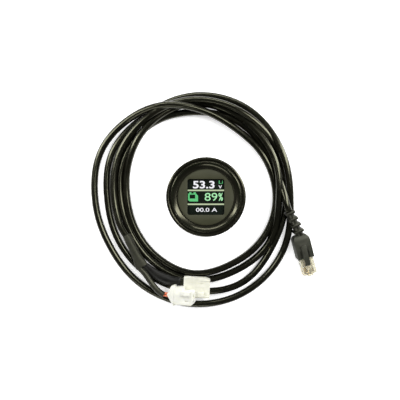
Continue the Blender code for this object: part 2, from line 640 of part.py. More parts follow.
def connectors():
    wide = Matrix.Translation(WIDE_PLACE) @ Matrix.Rotation(WIDE_TURN, 4, "Z")
    narrow = (Matrix.Translation(NARROW_PLACE) @ Matrix.Rotation(NARROW_TURN, 4, "Z")
              @ Matrix.Rotation(-NARROW_RISE, 4, "Y"))
    connector("wide", WIDE_HOUSING, wide, NATURAL_NYLON, 4, 3.96 * MM, *WIDE_LATCH)
    connector("narrow", NARROW_HOUSING, narrow, WHITE_NYLON, 3, 4.5 * MM, *NARROW_LATCH)
    before, last = (Vector(point) * MM for point in NARROW_BRANCH[-2:])
    mouth = along(before, last)
    for i, side in enumerate((-1, 1)):
        start = mouth @ Vector(((last - before).length + 2 * GAP, side * 1.1 * MM, 0))
        end = narrow @ Vector((-GAP, side * 1.1 * MM, NARROW_HOUSING[2] / 2))
        route = [start, start.lerp(end, 0.5), end]
        tube(f"signal_wire_{i + 1}", route, WIRE_RADIUS, ORANGE)


bezel_ring()
face_plate()
window_and_display()
display_carrier()
display_flex()
main_board()
board_parts()
barrel_housing()
panel_gasket()
rear_cover()
rear_seal()
socket("wide_socket", WIDE_HOUSING, 1, 4, 3.96 * MM)
socket("narrow_socket", NARROW_HOUSING, -1, 3, 4.5 * MM)
screws()
clamp_washer()
ring_nut()
lead_coil()
lead_tail()
plug_frame = along(PLUG_REAR, PLUG_NOSE)
plug_boot(plug_frame)
plug_body(plug_frame)
plug_latch(plug_frame)
lead_split()
narrow_branch()
wide_branch()
connectors()
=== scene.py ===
"""Panel battery gauge lying on its back, with its coiled data lead: the finished look of every piece."""

import json
import math

import bpy
from mathutils import Matrix, Vector


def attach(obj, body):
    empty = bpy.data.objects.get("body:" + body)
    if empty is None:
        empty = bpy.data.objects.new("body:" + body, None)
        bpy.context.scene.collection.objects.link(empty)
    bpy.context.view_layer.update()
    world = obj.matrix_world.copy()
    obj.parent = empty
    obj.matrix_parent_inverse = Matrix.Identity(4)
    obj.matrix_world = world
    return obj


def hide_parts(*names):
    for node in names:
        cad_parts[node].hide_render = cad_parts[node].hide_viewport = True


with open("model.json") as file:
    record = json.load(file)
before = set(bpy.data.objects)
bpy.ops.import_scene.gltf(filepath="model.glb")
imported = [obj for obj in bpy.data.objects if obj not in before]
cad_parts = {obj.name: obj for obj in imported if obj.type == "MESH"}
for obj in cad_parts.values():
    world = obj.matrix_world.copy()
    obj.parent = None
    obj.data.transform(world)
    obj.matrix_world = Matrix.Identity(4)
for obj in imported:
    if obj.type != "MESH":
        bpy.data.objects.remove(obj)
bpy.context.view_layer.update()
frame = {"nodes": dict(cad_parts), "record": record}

# ----- Camera, floor and lights
# The camera looks straight down from 315 mm, a little to the left of the gauge, on a white light table
# that glows faintly. Four long soft lamps stand round it, and the strongest is the one on the right.
mm = 0.001
eye = Vector((-4.5, -2.3, 315.0)) * mm
camera_data = bpy.data.cameras.new("camera")
camera_data.lens = 32.6
camera_data.sensor_width = 36.0
camera_data.clip_start = 0.01
camera = bpy.data.objects.new("camera", camera_data)
camera.location = eye
bpy.context.scene.collection.objects.link(camera)
bpy.context.scene.camera = camera

grain_depth = 0.1 * mm


class Link:
    """A socket in a finish's node tree. Sums on it add Math nodes, and node() adds any other kind."""

    def __init__(self, tree, socket=None):
        self.tree = tree
        self.socket = socket

    def node(self, kind, values=None, output=0, stops=None, **settings):
        """A node of this kind: its settings, its ramp's stops, then its sockets' values or links."""
        made = self.tree.nodes.new(kind)
        for name, value in settings.items():
            setattr(made, name, value)
        if stops:
            ramp = made.color_ramp.elements
            while len(ramp) < len(stops):
                ramp.new(1.0)
            for element, (place, shade) in zip(ramp, stops):
                element.position = place
                element.color = (*shade, 1.0)
        for name, value in (values or {}).items():
            if isinstance(value, Link):
                self.tree.links.new(value.socket, made.inputs[name])
            else:
                made.inputs[name].default_value = value
        return Link(self.tree, made.outputs[output]) if len(made.outputs) else made

    def __add__(self, other):
        return self.node("ShaderNodeMath", {0: self, 1: other}, operation="ADD")

    def __mul__(self, other):
        return self.node("ShaderNodeMath", {0: self, 1: other}, operation="MULTIPLY")

    __radd__ = __add__
    __rmul__ = __mul__


def finish(name, colours, roughness, bump=0.0, grain=2500.0, cloud=90.0, **fixed):
    """A surface of two colours in a soft cloud, with roughness that wanders with it and a fine grain."""
    material = bpy.data.materials.new(name)
    material.use_nodes = True
    tree = material.node_tree
    tree.nodes.clear()
    start = Link(tree)
    place = start.node("ShaderNodeTexCoord", output="Object")
    patch = start.node("ShaderNodeTexNoise", {"Vector": place, "Scale": cloud, "Detail": 4.0}, output="Fac")
    colour = start.node("ShaderNodeValToRGB", {"Fac": patch}, stops=[(0.3, colours[0]), (0.7, colours[1])])
    low, high = roughness
    values = {"Base Color": colour, "Roughness": low + (high - low) * patch, **fixed}
    if bump:
        fine = start.node("ShaderNodeTexNoise", {"Vector": place, "Scale": grain, "Detail": 2.0},
                          output="Fac")
        values["Normal"] = start.node("ShaderNodeBump",
                                      {"Height": fine, "Strength": bump, "Distance": grain_depth})
    shader = start.node("ShaderNodeBsdfPrincipled", values)
    start.node("ShaderNodeOutputMaterial", {"Surface": shader})
    return material


def dress(piece, material):
    """Gives a piece its one material."""
    piece.data.materials.clear()
    piece.data.materials.append(material)


# the gap that keeps two surfaces out of one plane, here the floor and the gauge's back
hair = 0.02 * mm
bpy.ops.object.select_all(action="DESELECT")
bpy.ops.mesh.primitive_plane_add(size=4.0, location=(0, 0, -hair))
floor = bpy.context.object
floor.name = "floor"
table = finish("light_table", [(0.93, 0.93, 0.93), (0.95, 0.95, 0.95)], (0.8, 0.9),
               **{"Emission Color": (1.0, 1.0, 1.0, 1.0), "Emission Strength": 0.5})
dress(floor, table)


def lamp(name, place, size, power, aim=(0, 0, 0)):
    """A rectangular soft lamp at place, in metres, turned to aim."""
    light = bpy.data.lights.new(name, "AREA")
    light.shape = "RECTANGLE"
    light.size, light.size_y = size
    light.energy = power
    made = bpy.data.objects.new(name, light)
    made.location = place
    made.rotation_mode = "QUATERNION"
    made.rotation_quaternion = (Vector(aim) - Vector(place)).to_track_quat("-Z", "Y")
    bpy.context.scene.collection.objects.link(made)


lamp("right_strip", (0.41, 0.22, 0.34), (0.14, 0.90), 5.0)
lamp("left_strip", (-0.47, 0.24, 0.38), (0.12, 0.55), 2.8)
lamp("far_strip", (-0.05, 0.55, 0.42), (0.60, 0.14), 2.8)
lamp("near_strip", (-0.20, -0.60, 0.45), (0.60, 0.16), 1.8)
world = bpy.data.worlds.new("studio")
world.use_nodes = True
world.node_tree.nodes["Background"].inputs["Color"].default_value = (1.0, 1.0, 1.0, 1.0)
world.node_tree.nodes["Background"].inputs["Strength"].default_value = 0.08
bpy.context.scene.world = world
bpy.context.scene.view_settings.view_transform = "Standard"

# ----- Data lead, main cable
# A round black cable of 5.8 mm in a glossy soft PVC jacket. It comes out of the plug's strain relief,
# lies in four and a half loose turns that cross each other, and ends in the split sleeve.
cable = 5.8 * mm
coil_middle = Vector((-10.1, -1.9, 0.0)) * mm
# how far each turn lies from the middle of the coil at every 30 degrees from +X, plug end first, in mm
turns = [
    [77.3, 74.8, 77.1, 75.4, 74.4, 69.0, 62.5, 60.6, 64.1, 68.9, 71.0, 74.3],
    [72.2, 77.1, 80.2, 82.3, 74.2, 63.8, 56.8, 56.0, 58.8, 63.5, 64.3, 68.2],
    [70.6, 70.5, 70.8, 77.3, 86.1, 90.0, 84.7, 82.3, 86.0, 89.8, 91.1, 88.7],
    [82.4, 85.6, 91.0, 89.6, 83.2, 80.7, 74.0, 73.5, 75.4, 78.4, 82.8, 78.8],
    [79.7, 83.4, 84.1, 84.1, 79.2, 73.8, 67.3, 65.3],
]
# which turn lies under which, lowest first, in each 30 degree sector
piles = {0: [4, 3, 2, 0, 1], 30: [0, 2, 4, 3, 1], 60: [0, 3, 1, 4, 2], 90: [0, 1, 3, 4, 2],
         120: [0, 1, 3, 4, 2], 150: [0, 1, 3, 4, 2], 180: [0, 1, 3, 4, 2], 210: [1, 0, 3, 4, 2],
         240: [1, 0, 3, 2], 270: [1, 0, 3, 2], 300: [1, 0, 3, 2], 330: [3, 1, 2, 0]}
# from the strain relief to the first turn
tail_route = [(69.7, -11.3, 12.4), (68.5, -8.4, 12.9), (67.6, -5.2, 12.6), (67.0, -2.2, 12.0),
              (66.6, 0.3, 11.7)]
split_start = Vector((-65.2, -34.6, 9.4)) * mm
split_end = Vector((-53.6, -58.2, 9.6)) * mm


def between(spots, place):
    """The value or point at a fractional place along a list, on a smooth curve through all of them."""
    k = min(int(place), len(spots) - 2)
    f = place - k
    before, one, two, after = (spots[min(max(k + i, 0), len(spots) - 1)] for i in (-1, 0, 1, 2))
    return 0.5 * (2 * one + (two - before) * f + (2 * before - 5 * one + 4 * two - after) * f ** 2
                  + (3 * one - before - 3 * two + after) * f ** 3)


def lie_in_turns(step=10, sector=30):
    """Points along the loose turns: each strand rests on whatever it crosses, in long low humps."""
    radii = [radius * mm for turn in turns for radius in turn]
    count = (len(radii) - 1) * sector // step + 1
    reach = [between(radii, i * step / sector) for i in range(count)]
    height = [cable / 2] * count
    in_turn = 360 // step
    for i in range(in_turn):
        pile = piles[int(i * step / sector + 0.5) * sector % 360]
        laid = []
        for k in (i + turn * in_turn for turn in pile if i + turn * in_turn < count):
            for lower in laid:
                apart = abs(reach[k] - reach[lower])
                if apart < cable:
                    height[k] = max(height[k], height[lower] + math.sqrt(cable ** 2 - apart ** 2))
            laid.append(k)
    for _ in range(3):
        height = [height[0]] + [(height[i - 1] + 2 * height[i] + height[i + 1]) / 4
                                for i in range(1, count - 1)] + [height[-1]]
    points = []
    for i in range(count):
        angle = math.radians(i * step)
        spot = Vector((reach[i] * math.cos(angle), reach[i] * math.sin(angle), height[i]))
        points.append(coil_middle + spot)
    return points


def evenly(points, step):
    """Points a step apart along the smooth curve through a route."""
    fine = [between(points, i / 8) for i in range(8 * (len(points) - 1) + 1)]
    route, walked = [fine[0]], 0.0
    for one, two in zip(fine, fine[1:]):
        walked += (two - one).length
        if walked >= step:
            route.append(two)
            walked = 0.0
    if (route[-1] - fine[-1]).length < step / 2:
        route.pop()
    return route + [fine[-1]]


def cord_along(name, route, diameter, sides=7):
    """A round cord with filled ends along a route."""
    curve = bpy.data.curves.new(name, "CURVE")
    curve.dimensions = "3D"
    curve.bevel_depth = diameter / 2
    curve.bevel_resolution = sides
    curve.use_fill_caps = True
    line = curve.splines.new("POLY")
    line.points.add(len(route) - 1)
    for point, spot in zip(line.points, route):
        point.co = (*spot, 1.0)
    line.use_smooth = True
    piece = bpy.data.objects.new(name, curve)
    bpy.context.scene.collection.objects.link(piece)
    return piece


def seat(piece, body, slot, material, *stands_for):
    """Finishes a piece, fixes it to its body and hides the plain solids that it stands for."""
    dress(piece, material)
    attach(piece, body)
    if stands_for:
        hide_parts(*stands_for)
    return piece


jacket = finish("cable_jacket", [(0.0015, 0.0015, 0.0010), (0.0040, 0.0040, 0.0025)], (0.16, 0.26),
                bump=0.06, grain=900.0, cloud=160.0, **{"Specular Tint": (1.0, 1.0, 0.70, 1.0)})
cable_route = evenly([Vector(spot) * mm for spot in tail_route] + lie_in_turns()[2:-1] + [split_start],
                     4 * mm)
for spot in cable_route:
    spot.z = max(spot.z, cable / 2 + hair)
lead_cable = cord_along("lead_cable", cable_route, cable)
seat(lead_cable, "gauge", "cable_black", jacket, "lead_coil", "lead_tail")

# ----- Data lead, split and its two branches
# A heat-shrink sleeve grips the cable's end, where its cores part into two bundles. The narrow one is in a
# round black sleeve, and the wide one, of four wires, in a flat sleeve of soft black tubing.


def axis_frame(start, end, up=Vector((0, 0, 1))):
    """A place at start whose X axis points to end and whose Z axis leans to up."""
    x = (end - start).normalized()
    y = up.cross(x).normalized()
    return Matrix.Translation(start) @ Matrix((x, y, x.cross(y))).transposed().to_4x4()


def pick(piece):
    """Selects this piece alone and makes it the active one."""
    bpy.ops.object.select_all(action="DESELECT")
    piece.select_set(True)
    bpy.context.view_layer.objects.active = piece


def settle(piece, place):
    """Moves a piece from the origin to its place and leaves the place in its mesh."""
    piece.matrix_world = place
    pick(piece)
    bpy.ops.object.transform_apply(location=True, rotation=True, scale=True)
    return piece


def moved(*place):
    """The matrix of a move to a place given in mm."""
    return Matrix.Translation(Vector(place) * mm)


def swung(degrees, axis="Z"):
    """The matrix of a turn about an axis."""
    return Matrix.Rotation(math.radians(degrees), 4, axis)


# an edge sharper than this stays a visible corner
crease = math.radians(40)
# points closer than this are made one
weld = 0.001 * mm


def drawn_out(name, sections, corners=32):
    """A round end cap drawn out along X through sections of (distance, half width, half height) in mm."""
    bpy.ops.object.select_all(action="DESELECT")
    bpy.ops.mesh.primitive_circle_add(vertices=corners, radius=1.0, fill_type="NGON")
    piece = bpy.context.object
    piece.name = name
    upright = Matrix.Rotation(math.pi / 2, 4, "Y") @ Matrix.Rotation(math.pi / 2, 4, "Z")
    bpy.ops.object.mode_set(mode="EDIT")
    at, wide, high = sections[0]
    bpy.ops.transform.resize(value=(wide * mm, high * mm, 1.0))
    bpy.ops.transform.translate(value=(0, 0, at * mm))
    for before, after in zip(sections, sections[1:]):
        move = (0, 0, (after[0] - before[0]) * mm)
        bpy.ops.mesh.extrude_region_move(TRANSFORM_OT_translate={"value": move})
        bpy.ops.transform.resize(value=(after[1] / before[1], after[2] / before[2], 1.0))
    bpy.ops.mesh.select_all(action="SELECT")
    bpy.ops.mesh.normals_make_consistent(inside=False)
    bpy.ops.object.mode_set(mode="OBJECT")
    settle(piece, upright)
    bpy.ops.object.shade_smooth_by_angle(angle=crease)
    return piece


shrink = finish("heat_shrink", [(0.008, 0.008, 0.006), (0.018, 0.018, 0.013)], (0.42, 0.58), bump=0.5,
                grain=420.0, cloud=200.0, **{"Specular Tint": (1.0, 1.0, 0.75, 1.0)})
split_frame = axis_frame(split_start, split_end)
split_shape = [(-3.0, 3.2, 3.2), (-1.6, 3.5, 3.4), (3.0, 3.7, 3.3), (9.0, 3.6, 3.2), (13.0, 4.0, 3.2),
               (16.5, 3.9, 3.0), (20.0, 4.6, 2.9), (24.0, 5.2, 2.7), (26.6, 5.5, 2.5)]
split_sleeve = settle(drawn_out("split_sleeve", split_shape), split_frame)
seat(split_sleeve, "gauge", "shrink_grey", shrink, "lead_split")

narrow_route = [(-55.6, -59.4, 9.6), (-53.2, -61.9, 9.5), (-50.3, -65.2, 9.5), (-47.6, -69.2, 9.6),
                (-44.4, -73.6, 9.8), (-41.6, -76.8, 10.1), (-39.0, -79.2, 10.5), (-36.6, -80.9, 10.9),
                (-34.6, -81.9, 11.3)]
narrow_sleeve = cord_along("narrow_sleeve", evenly([Vector(spot) * mm for spot in narrow_route], 1.5 * mm),
                           4.9 * mm)
soft_tube = finish("soft_tubing", [(0.004, 0.004, 0.003), (0.010, 0.010, 0.007)], (0.36, 0.50), bump=0.4,
                   grain=600.0, cloud=240.0, **{"Specular Tint": (1.0, 1.0, 0.75, 1.0)})
seat(narrow_sleeve, "gauge", "cable_black", soft_tube, "narrow_branch")

wide_route = [(-53.0, -56.4, 9.3), (-50.0, -57.6, 9.3), (-46.2, -60.9, 9.2), (-41.6, -64.9, 9.1),
              (-36.2, -68.1, 9.0), (-29.8, -70.3, 9.0), (-24.0, -71.0, 9.0), (-20.8, -71.0, 9.1)]
wide_sleeve = cord_along("wide_sleeve", evenly([Vector(spot) * mm for spot in wide_route], 2 * mm), 2 * mm)
# half widths of the flat sleeve along its length, in mm, and its thickness as a part of its width
swell = [2.4, 2.7, 3.3, 4.1, 4.6, 4.4, 3.7, 3.4]
flatness = 0.56
spots = wide_sleeve.data.splines[0].points
for i, spot in enumerate(spots):
    spot.radius = between(swell, i * (len(swell) - 1) / (len(spots) - 1))
pick(wide_sleeve)
bpy.ops.object.convert(target="MESH")
bpy.ops.object.mode_set(mode="EDIT")
bpy.ops.mesh.select_all(action="SELECT")
bpy.ops.mesh.remove_doubles(threshold=weld)
bpy.ops.transform.resize(value=(1, 1, flatness), center_override=(0, 0, 9.1 * mm))
bpy.ops.object.mode_set(mode="OBJECT")
# darker than the round sleeve's tubing: partly its own matte black, partly painted shade for where it lies
# low, under the split
shaded_flat_tube = finish("flat_tubing", [(0.002, 0.002, 0.0015), (0.006, 0.006, 0.004)], (0.32, 0.50), bump=0.5,
                   grain=450.0, cloud=240.0, **{"Specular IOR Level": 0.3})
seat(wide_sleeve, "gauge", "cable_black", shaded_flat_tube, "wide_branch")

# ----- Data lead, plug
# An eight-way modular plug of clear polycarbonate. Its black moulded boot has rounded shoulders, a tongue
# that shields the latch, and a segmented strain relief that leads into the cable.
plug_rear = Vector((79.7, -30.9, 7.6)) * mm
plug_nose = Vector((89.6, -65.3, 3.8)) * mm
relief_end = Vector((70.0, -12.0, 12.2)) * mm
plug_frame = axis_frame(plug_rear, plug_nose)
relief_frame = axis_frame(plug_rear, relief_end)


def block(name, size, centre, rounding=0.0, segments=3):
    """A block of this size in mm round its centre, with every edge rounded."""
    bpy.ops.object.select_all(action="DESELECT")
    bpy.ops.mesh.primitive_cube_add(size=1.0)
    piece = bpy.context.object
    piece.name = name
    bpy.ops.object.mode_set(mode="EDIT")
    bpy.ops.transform.resize(value=[side * mm for side in size])
    if rounding:
        bpy.ops.mesh.bevel(offset=rounding * mm, segments=segments)
    bpy.ops.transform.translate(value=[side * mm for side in centre])
    bpy.ops.object.mode_set(mode="OBJECT")
    return piece


def carve(piece, *tools, operation="DIFFERENCE"):
    """Cuts the tools out of a piece, or joins them on, and removes them."""
    for tool in tools:
        step = piece.modifiers.new("carve", "BOOLEAN")
        step.operation = operation
        step.object = tool
        bpy.context.view_layer.objects.active = piece
        bpy.ops.object.modifier_apply(modifier=step.name)
        bpy.data.objects.remove(tool)
    return piece


def soften(piece, width, angle=35, segments=2):
    """Rounds a finished piece's sharp edges and shades it smooth."""
    step = piece.modifiers.new("soften", "BEVEL")
    step.width = width * mm
    step.segments = segments
    step.limit_method = "ANGLE"
    step.angle_limit = math.radians(angle)
    pick(piece)
    bpy.ops.object.modifier_apply(modifier=step.name)
    bpy.ops.object.shade_smooth_by_angle(angle=crease)
    return piece


def round_uprights(piece, radius, segments, behind=math.inf):
    """Rounds a block's upright edges, or only those that lie behind a place along X, in mm."""
    bpy.ops.object.mode_set(mode="EDIT")
    bpy.ops.mesh.select_all(action="DESELECT")
    bpy.ops.object.mode_set(mode="OBJECT")
    for edge in piece.data.edges:
        one, two = (piece.data.vertices[i].co for i in edge.vertices)
        edge.select = max(one.x, two.x) < behind * mm and abs(one.z - two.z) > 1 * mm
    bpy.ops.object.mode_set(mode="EDIT")
    bpy.ops.mesh.select_mode(type="EDGE")
    bpy.ops.mesh.bevel(offset=radius * mm, segments=segments)
    bpy.ops.mesh.select_mode(type="VERT")
    bpy.ops.object.mode_set(mode="OBJECT")


boot_grey = finish("boot_vinyl", [(0.014, 0.015, 0.011), (0.026, 0.027, 0.021)], (0.50, 0.62), bump=0.35,
                   grain=1500.0, cloud=260.0, **{"Specular Tint": (1.0, 1.0, 0.80, 1.0)})
boot = block("boot", (20.9, 13.7, 9.6), (10.45, -0.35, 0))
round_uprights(boot, 5.2, 10, behind=1)
tongue = block("tongue", (17.6, 4.6, 2.6), (18.0, -0.7, 5.0), 0.5)
carve(boot, tongue, operation="UNION")
carve(boot, block("plug_pocket", (12.0, 12.1, 6.9), (19.2, 0, -0.4)),
      block("latch_space", (8.0, 5.4, 2.4), (25.8, -0.4, 4.4)))
for side in (-1, 1):
    carve(boot, block("tongue_slot", (8.6, 1.5, 4.0), (18.2, side * 3.0 - 0.7, 5.6), 0.4))
soften(boot, 0.55, angle=50, segments=3)
settle(boot, plug_frame)

relief_length = (relief_end - plug_rear).length / mm
relief = drawn_out("relief", [(-1.5, 3.3, 3.3), (relief_length, 3.0, 3.0)], 40)
ribs = 4
for i in range(ribs):
    reach = 4.35 - 0.12 * i
    middle = 3.0 + i * (relief_length - 4.0) / (ribs - 1)
    carve(relief, block("rib", (2.6, 2 * reach, 2 * reach - 0.5), (middle, 0, 0), 0.8), operation="UNION")
carve(relief, block("spine", (relief_length + 0.4, 2.0, 7.0), ((relief_length - 0.6) / 2, 0, 0), 0.4),
      operation="UNION")
soften(relief, 0.22, angle=45)
settle(relief, relief_frame)
relief_black = finish("relief_vinyl", [(0.006, 0.006, 0.004), (0.014, 0.014, 0.010)], (0.30, 0.42), bump=0.3,
                      grain=1100.0, cloud=260.0, **{"Specular Tint": (1.0, 1.0, 0.80, 1.0)})
seat(boot, "gauge", "boot_black", boot_grey, "plug_boot")
seat(relief, "gauge", "boot_black", relief_black)

clear_resin = finish("clear_polycarbonate", [(0.86, 0.84, 0.68), (0.94, 0.92, 0.80)], (0.04, 0.12),
                     **{"Transmission Weight": 0.78, "IOR": 1.42})
# where each of the eight contacts and its core lie across the plug, in mm
contact_rows = [(i - 3.5) * 1.02 for i in range(8)]
shell = block("clear_shell", (22.1, 11.7, 6.5), (24.7, 0, -0.4))
carve(shell, block("core_space", (17.0, 10.0, 2.2), (21.0, 0, -0.2), 0.3))
for across in contact_rows:
    carve(shell, block("contact_slot", (7.4, 0.55, 2.6), (32.7, across, -2.7)))
for side in (-1, 1):
    carve(shell, block("nose_relief", (3.0, 2.4, 1.2), (35.6, side * 4.9, 2.8), 0.3))
carve(shell, block("latch_root", (6.0, 5.0, 1.0), (34.2, 0, 2.9), 0.3), operation="UNION")
soften(shell, 0.2, angle=50)
settle(shell, plug_frame)
seat(shell, "gauge", "clear_plug", clear_resin, "plug_body")

# the cores, in pairs of one plain and one coloured
core_colours = [(0.80, 0.76, 0.62), (0.62, 0.40, 0.20), (0.80, 0.78, 0.68), (0.30, 0.38, 0.48),
                (0.72, 0.74, 0.68), (0.36, 0.48, 0.30), (0.80, 0.76, 0.66), (0.42, 0.32, 0.22)]
for number, (across, colour) in enumerate(zip(contact_rows, core_colours), start=1):
    line = [plug_frame @ (Vector((along, across, -0.2)) * mm) for along in (14.2, 20.0, 25.0, 29.2)]
    core = cord_along(f"plug_core_{number}", line, 0.9 * mm, sides=3)
    paint = finish(f"core_paint_{number}", [colour, [0.8 * shade for shade in colour]], (0.4, 0.5))
    seat(core, "gauge", "wire_orange", paint)

gold = finish("gold_plate", [(0.72, 0.50, 0.18), (0.82, 0.60, 0.26)], (0.22, 0.34), bump=0.1, Metallic=1.0)
dress(frame["nodes"]["plug_contacts"], gold)

# the latch rises by 5 degrees from its root near the nose
lever_frame = plug_frame @ Matrix.Translation((34.6 * mm, 0, 3.6 * mm)) @ swung(5, "Y")
lever = block("latch_lever", (12.0, 3.2, 0.8), (-6.2, 0, 0.2))
carve(lever, block("shoulder", (3.2, 5.4, 0.8), (-5.4, 0, 0.2)), operation="UNION")
soften(lever, 0.18, angle=50)
settle(lever, lever_frame)
seat(lever, "plug_latch_arm", "clear_plug", clear_resin, "plug_latch")

# ----- Data lead, two nylon connectors
# The wide four-way connector is natural nylon and lies flat on the turns. The narrow three-way one is white
# and leans on its corner. Each has a rocking latch on top, and its wires enter from behind.
wide_frame = moved(-18.3, -75.3, 6.3) @ swung(-2.5)
narrow_frame = moved(-29.4, -81.4, 8.7) @ swung(2) @ swung(-22, "Y")
nylon_depth = {"Subsurface Weight": 0.25, "Subsurface Radius": (0.002, 0.002, 0.0015)}
natural = finish("natural_moulded_nylon", [(0.68, 0.675, 0.575), (0.76, 0.755, 0.66)], (0.34, 0.46),
                 bump=0.25, grain=1200.0, cloud=300.0, **nylon_depth)
white = finish("white_moulded_nylon", [(0.69, 0.69, 0.62), (0.76, 0.76, 0.69)], (0.34, 0.46),
               bump=0.2, grain=1200.0, cloud=300.0, **nylon_depth)

wide_plug = block("wide_plug", (22.0, 16.7, 6.5), (11.0, 0, 3.25))
carve(wide_plug, block("collar", (5.0, 17.3, 6.1), (3.4, 0, 3.25), 0.4), operation="UNION")
wide_pitch = 3.96
for i in range(4):
    across = (i - 1.5) * wide_pitch
    carve(wide_plug, block("pin_entry", (18.0, 2.3, 2.6), (22.0, across, 3.2), 0.2),
          drawn_out("underside_groove", [(-1.0, 1.2, 1.2), (8.0, 1.2, 1.2)], 20))
    if i < 3:
        carve(wide_plug, block("groove", (13.0, 0.5, 0.8), (10.0, across + wide_pitch / 2, 6.5), 0.15))
for side in (-1, 1):
    carve(wide_plug, block("key", (9.0, 1.2, 1.0), (17.6, side * 6.6, 6.4), 0.3), operation="UNION")
front_corner = block("front_corner", (14.0, 4.0, 14.0), (0, 2.0, 0))
settle(front_corner, moved(20.0, 7.8, 3.2) @ swung(-18))
carve(wide_plug, front_corner)
carve(wide_plug, block("latch_post", (1.2, 4.0, 1.4), (13.2, -5.0, 6.7)), operation="UNION")
soften(wide_plug, 0.3, angle=50)
settle(wide_plug, wide_frame)
seat(wide_plug, "gauge", "natural_nylon", natural, "wide_housing")

narrow_plug = block("narrow_plug", (22.8, 14.1, 6.5), (11.4, 0, 3.25))
carve(narrow_plug, block("front_step", (9.6, 4.0, 8.0), (18.4, 6.3, 3.25), 0.3))
collar = block("rear_collar", (6.0, 16.2, 7.1), (2.9, 0, 3.3))
carve(narrow_plug, collar, operation="UNION")
narrow_pitch = 4.5
for i in range(3):
    across = (i - 1) * narrow_pitch
    carve(narrow_plug, block("pin_entry", (18.0, 2.3, 2.6), (23.0, across, 3.2), 0.2))
for side in (1, -1):
    corner = block("collar_corner", (30.0, 8.0, 12.0), (0, side * 4.0, 0))
    carve(narrow_plug, settle(corner, moved(0, 0.8, 3.3) @ swung(side * 60)))
nose_corner = block("nose_corner", (6.0, 6.0, 12.0), (0, -3.0, 0))
carve(narrow_plug, settle(nose_corner, moved(22.0, -5.8, 3.3) @ swung(50)))
carve(narrow_plug, block("collar_step", (1.6, 2.0, 9.0), (6.6, 7.8, 3.25), 0.2),
      block("ear_gap", (2.2, 0.9, 9.0), (5.4, -6.7, 3.25), 0.2),
      block("key_slot", (3.0, 0.6, 2.0), (17.6, -3.6, 6.6), 0.15),
      block("side_groove", (8.0, 1.0, 1.4), (16.0, -7.1, 3.4), 0.2))
carve(narrow_plug, block("latch_post", (1.2, 3.2, 1.4), (17.4, 2.8, 6.7)), operation="UNION")
soften(narrow_plug, 0.4, angle=50)
settle(narrow_plug, narrow_frame)
seat(narrow_plug, "gauge", "white_nylon", white, "narrow_housing")


def rocker(name, length, width, place, slot, material, body, node):
    """A connector's rocking latch: a ridged thumb pad behind, a hook in front."""
    made = block(name, (length, width, 1.0), (0, 0, 0.5), 0.25, 2)
    carve(made, block("hook", (1.4, 0.8 * width, 1.0), (length / 2 - 0.9, 0, -0.2)), operation="UNION")
    for i in range(3):
        ridge = block("ridge", (0.5, 0.8 * width, 0.5), (-length / 2 + 1.0 + 1.0 * i, 0, 1.0), 0.15, 2)
        carve(made, ridge, operation="UNION")
    soften(made, 0.12, angle=50)
    return seat(settle(made, place), body, slot, material, node)


wide_rocker = rocker("wide_rocker", 8.4, 4.4, wide_frame @ moved(13.2, -5.0, 7.5),
                     "natural_nylon", natural, "wide_latch_arm", "wide_latch")
narrow_rocker = rocker("narrow_rocker", 8.2, 3.6, narrow_frame @ moved(17.4, 2.8, 7.5),
                       "white_nylon", white, "narrow_latch_arm", "narrow_latch")

orange = finish("orange_insulation", [(0.75, 0.16, 0.06), (0.85, 0.24, 0.10)], (0.34, 0.46), bump=0.1,
                cloud=400.0)
for i, side in enumerate((-1, 1)):
    inside = Vector((-36.0, -81.3 + side * 0.9, 11.0)) * mm
    entry = narrow_frame @ (Vector((1.5, side * 1.1, 3.25)) * mm)
    line = [inside, inside.lerp(entry, 0.3), inside.lerp(entry, 0.6) + Vector((0, 0, 0.4)) * mm, entry]
    wire = cord_along(f"signal_wire_run_{i + 1}", evenly(line, 0.5 * mm), 1.7 * mm, sides=4)
    seat(wire, "gauge", "wire_orange", orange, f"signal_wire_{i + 1}")
for i in range(4):
    inside = Vector((-23.5, -71.0 + (i - 1.5) * 1.3, 9.1)) * mm
    entry = wide_frame @ (Vector((2.0, 4.1 + (i - 1.5) * 1.7, 3.2)) * mm)
    line = [inside, inside.lerp(entry, 0.35), inside.lerp(entry, 0.7), entry]
    wire = cord_along(f"power_wire_{i + 1}", evenly(line, 0.5 * mm), 1.6 * mm, sides=4)
    seat(wire, "gauge", "cable_black", soft_tube)

# ----- Bezel ring
# The gauge's front ring, moulded in polished black and snapped over the flange. A raised rim runs round a
# groove and a ridge, and a hollow slope leads down to the face plate. A fine mould seam crosses the slope.


def turned(name, outline, rounding, steps=160):
    """A closed outline of (radius, height) corners in mm, its corners rounded, spun about the Z axis."""
    bpy.ops.object.select_all(action="DESELECT")
    bpy.ops.mesh.primitive_plane_add(size=1.0)
    piece = bpy.context.object
    piece.name = name
    bpy.ops.object.mode_set(mode="EDIT")
    bpy.ops.mesh.merge(type="CENTER")
    bpy.ops.transform.translate(value=(outline[0][0] * mm, 0, outline[0][1] * mm))
    for before, after in zip(outline, outline[1:]):
        move = ((after[0] - before[0]) * mm, 0, (after[1] - before[1]) * mm)
        bpy.ops.mesh.extrude_region_move(TRANSFORM_OT_translate={"value": move})
    bpy.ops.mesh.select_all(action="SELECT")
    bpy.ops.mesh.edge_face_add()
    if rounding:
        bpy.ops.mesh.bevel(offset=rounding * mm, segments=4, affect="VERTICES")
    bpy.ops.mesh.delete(type="ONLY_FACE")
    bpy.ops.mesh.select_all(action="SELECT")
    bpy.ops.mesh.spin(steps=steps, angle=2 * math.pi, center=(0, 0, 0), axis=(0, 0, 1))
    bpy.ops.mesh.select_all(action="SELECT")
    bpy.ops.mesh.remove_doubles(threshold=weld)
    bpy.ops.mesh.normals_make_consistent(inside=False)
    bpy.ops.object.mode_set(mode="OBJECT")
    bpy.ops.object.shade_smooth_by_angle(angle=crease)
    return piece


